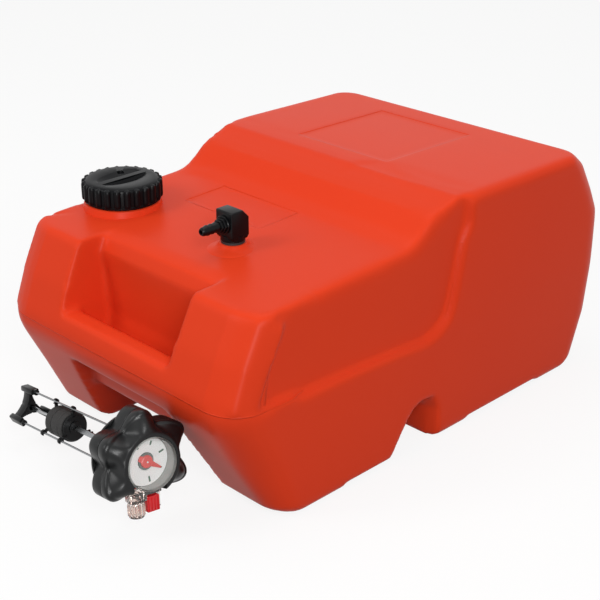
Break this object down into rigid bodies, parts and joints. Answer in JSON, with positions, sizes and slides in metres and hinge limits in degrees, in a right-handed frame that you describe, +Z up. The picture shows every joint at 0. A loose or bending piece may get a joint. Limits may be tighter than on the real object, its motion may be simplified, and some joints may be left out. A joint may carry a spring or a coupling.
{
  "type": "outboard fuel tank",
  "caption": "Portable fuel tank for an outboard motor: a hollow stepped tank with a grab bar, screw filler cap, hose outlet and a loose float-gauge cap.",
  "frame": {"origin": "on the floor under the tank's plan centre, on the flat of the middle foot", "axes": "+Z up, -Y towards the grab bar and the loose gauge, +X towards the side with the hose outlet"},
  "size_m": [0.3382, 0.6126, 0.2427],
  "materials": {
    "tank_red": "satin blow-moulded polyethylene",
    "cap_black": "satin",
    "fitting_black": "satin",
    "knob_black": "semi-gloss",
    "frame_black": "satin",
    "float_black": "fine-cell nitrile foam",
    "seal_rubber": "matt",
    "clear_tube": "natural",
    "clear_plastic": "clear",
    "dial_white": "satin",
    "pointer_red": "satin",
    "vent_red": "gloss",
    "magnet_grey": "matt ferrite",
    "rod_steel": "drawn",
    "strip_steel": "bright rolled"
  },
  "bodies": {
    "tank": {"tank_body": "tank_red", "outlet_elbow": "fitting_black", "elbow_seal": "seal_rubber", "hose_barb": "fitting_black", "pickup_tube": "clear_tube", "pickup_strainer": "fitting_black"},
    "cap_seal": {"cap_gasket": "seal_rubber"},
    "cap": {"filler_cap": "cap_black"},
    "gauge": {"gauge_knob_front": "knob_black", "gauge_knob_rear": "knob_black", "gauge_knob_core": "knob_black", "lens_capsule": "clear_plastic", "dial_face": "dial_white", "dial_carrier": "dial_white", "gauge_plug": "frame_black", "gauge_gasket": "seal_rubber", "guide_rods": "rod_steel", "end_bracket": "frame_black", "vent_housing": "clear_plastic", "vent_insert": "vent_red"},
    "float": {"float_body": "float_black", "float_clips": "frame_black", "float_guide": "frame_black"},
    "indicator_strip": {"twisted_strip": "strip_steel", "drive_magnet": "magnet_grey"},
    "indicator_pointer": {"pointer": "pointer_red", "pointer_magnet": "magnet_grey"},
    "vent": {"vent_screw": "clear_plastic"}
  },
  "joints": [
    {"name": "cap_lift", "type": "slide", "parent": "tank", "child": "cap_seal", "axis": [0, 0, 1], "range_m": [0, 0.11]},
    {"name": "cap_turn", "type": "hinge", "parent": "cap_seal", "child": "cap", "pos_m": [-0.1235, -0.1489, 0.22], "axis": [0, 0, 1], "range_deg": [0, 360]},
    {"name": "gauge_lift", "type": "slide", "parent": "tank", "child": "gauge", "axis": [0, -0.7071, 0.7071], "range_m": [0, 0.15]},
    {"name": "float_slide", "type": "slide", "parent": "gauge", "child": "float", "axis": [0.9831, -0.0791, 0.165], "range_m": [-0.034, 0.085]},
    {"name": "strip_turn", "type": "hinge", "parent": "gauge", "child": "indicator_strip", "pos_m": [-0.0407, -0.29079, 0.04677], "axis": [0.9831, -0.0791, 0.165], "range_deg": [-131, 55]},
    {"name": "pointer_turn", "type": "hinge", "parent": "gauge", "child": "indicator_pointer", "pos_m": [0.09251, -0.30151, 0.06914], "axis": [0.9831, -0.0791, 0.165], "range_deg": [-131, 55]},
    {"name": "vent_turn", "type": "hinge", "parent": "gauge", "child": "vent", "pos_m": [0.09574, -0.31676, 0.03049], "axis": [0.1569, -0.1001, -0.9825], "range_deg": [0, 180]}
  ],
  "couplings": [
    {"joint": "strip_turn", "follows": "float_slide", "rad_per_m": -26.18},
    {"joint": "pointer_turn", "follows": "float_slide", "rad_per_m": -26.18}
  ]
}
